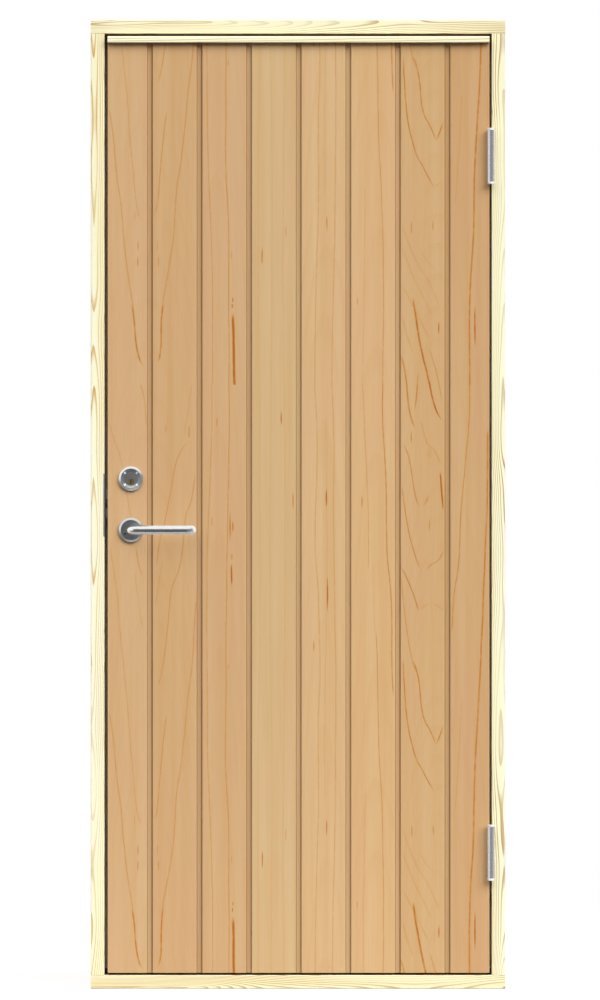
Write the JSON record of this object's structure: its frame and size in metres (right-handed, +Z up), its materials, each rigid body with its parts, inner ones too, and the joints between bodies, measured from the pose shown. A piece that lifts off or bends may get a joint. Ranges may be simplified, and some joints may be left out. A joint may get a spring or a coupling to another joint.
{
  "type": "shed door",
  "caption": "Outward-opening shed door with a grooved board face, drip strip, lever handle and lock, hung on lift-off hinges in a rebated pine frame.",
  "frame": {"origin": "middle of the sill's underside, half-way through the frame's depth", "axes": "+Z up, +X towards the hinges, +Y into the building, so the weather side looks along -Y"},
  "size_m": [0.89, 0.1668, 2.08],
  "materials": {
    "frame_pine": "pale planed pine, untreated",
    "face_boards": "tan stained spruce boards, long grain",
    "leaf_core": "sawn and planed pine",
    "inner_panel": "tan stained grooved panel",
    "seal_rubber": "matt beige rubber",
    "hinge_steel": "zinc plated, satin",
    "handle_steel": "brushed stainless",
    "lock_steel": "zinc plated, matt",
    "lock_brass": "dulled brass with nickel wear"
  },
  "bodies": {
    "frame": {"frame_head": "frame_pine", "frame_sill": "frame_pine", "frame_lock_post": "frame_pine", "frame_hinge_post": "frame_pine", "seal_head": "seal_rubber", "seal_sill": "seal_rubber", "seal_lock_side": "seal_rubber", "seal_hinge_side": "seal_rubber", "strike_plate": "lock_steel", "hinge_top_frame_half": "hinge_steel", "hinge_bottom_frame_half": "hinge_steel"},
    "leaf": {"board_1": "face_boards", "board_2": "face_boards", "board_3": "face_boards", "board_4": "face_boards", "board_5": "face_boards", "board_6": "face_boards", "board_7": "face_boards", "board_8": "face_boards", "drip_strip": "frame_pine", "leaf_lock_stile": "leaf_core", "leaf_hinge_stile": "leaf_core", "leaf_top_rail": "leaf_core", "leaf_bottom_rail": "leaf_core", "leaf_inner_panel": "inner_panel", "hinge_top_leaf_half": "hinge_steel", "hinge_bottom_leaf_half": "hinge_steel", "lock_case": "lock_steel", "lever_rose_outside": "handle_steel", "lever_rose_inside": "handle_steel", "blank_rose_inside": "handle_steel", "cylinder_rose_outside": "handle_steel", "lock_cylinder": "lock_brass"},
    "lever": {"lever_outside": "handle_steel", "lever_inside": "handle_steel", "handle_spindle": "lock_steel"},
    "latch": {"latch_bolt": "lock_steel"},
    "dead_bolt": {"dead_bolt": "lock_steel"},
    "key_plug": {"key_plug": "lock_brass"}
  },
  "joints": [
    {"name": "leaf_swing", "type": "hinge", "parent": "frame", "child": "leaf", "pos_m": [0.4145, -0.058, 1.04], "axis": [0, 0, 1], "range_deg": [0, 170]},
    {"name": "lever_turn", "type": "hinge", "parent": "leaf", "child": "lever", "pos_m": [-0.3588, 0, 0.985], "axis": [0, 1, 0], "range_deg": [0, 45], "stiffness_Nm_per_rad": 2, "springref_deg": -34.38},
    {"name": "latch_slide", "type": "slide", "parent": "leaf", "child": "latch", "axis": [1, 0, 0], "range_m": [0, 0.005]},
    {"name": "dead_bolt_slide", "type": "slide", "parent": "leaf", "child": "dead_bolt", "axis": [1, 0, 0], "range_m": [0, 0.005]},
    {"name": "key_turn", "type": "hinge", "parent": "leaf", "child": "key_plug", "pos_m": [-0.3588, -0.046, 1.0878], "axis": [0, 1, 0], "range_deg": [0, 90]}
  ],
  "couplings": [
    {"joint": "latch_slide", "follows": "lever_turn", "m_per_rad": 0.006366},
    {"joint": "key_turn", "follows": "dead_bolt_slide", "rad_per_m": 314.15}
  ]
}
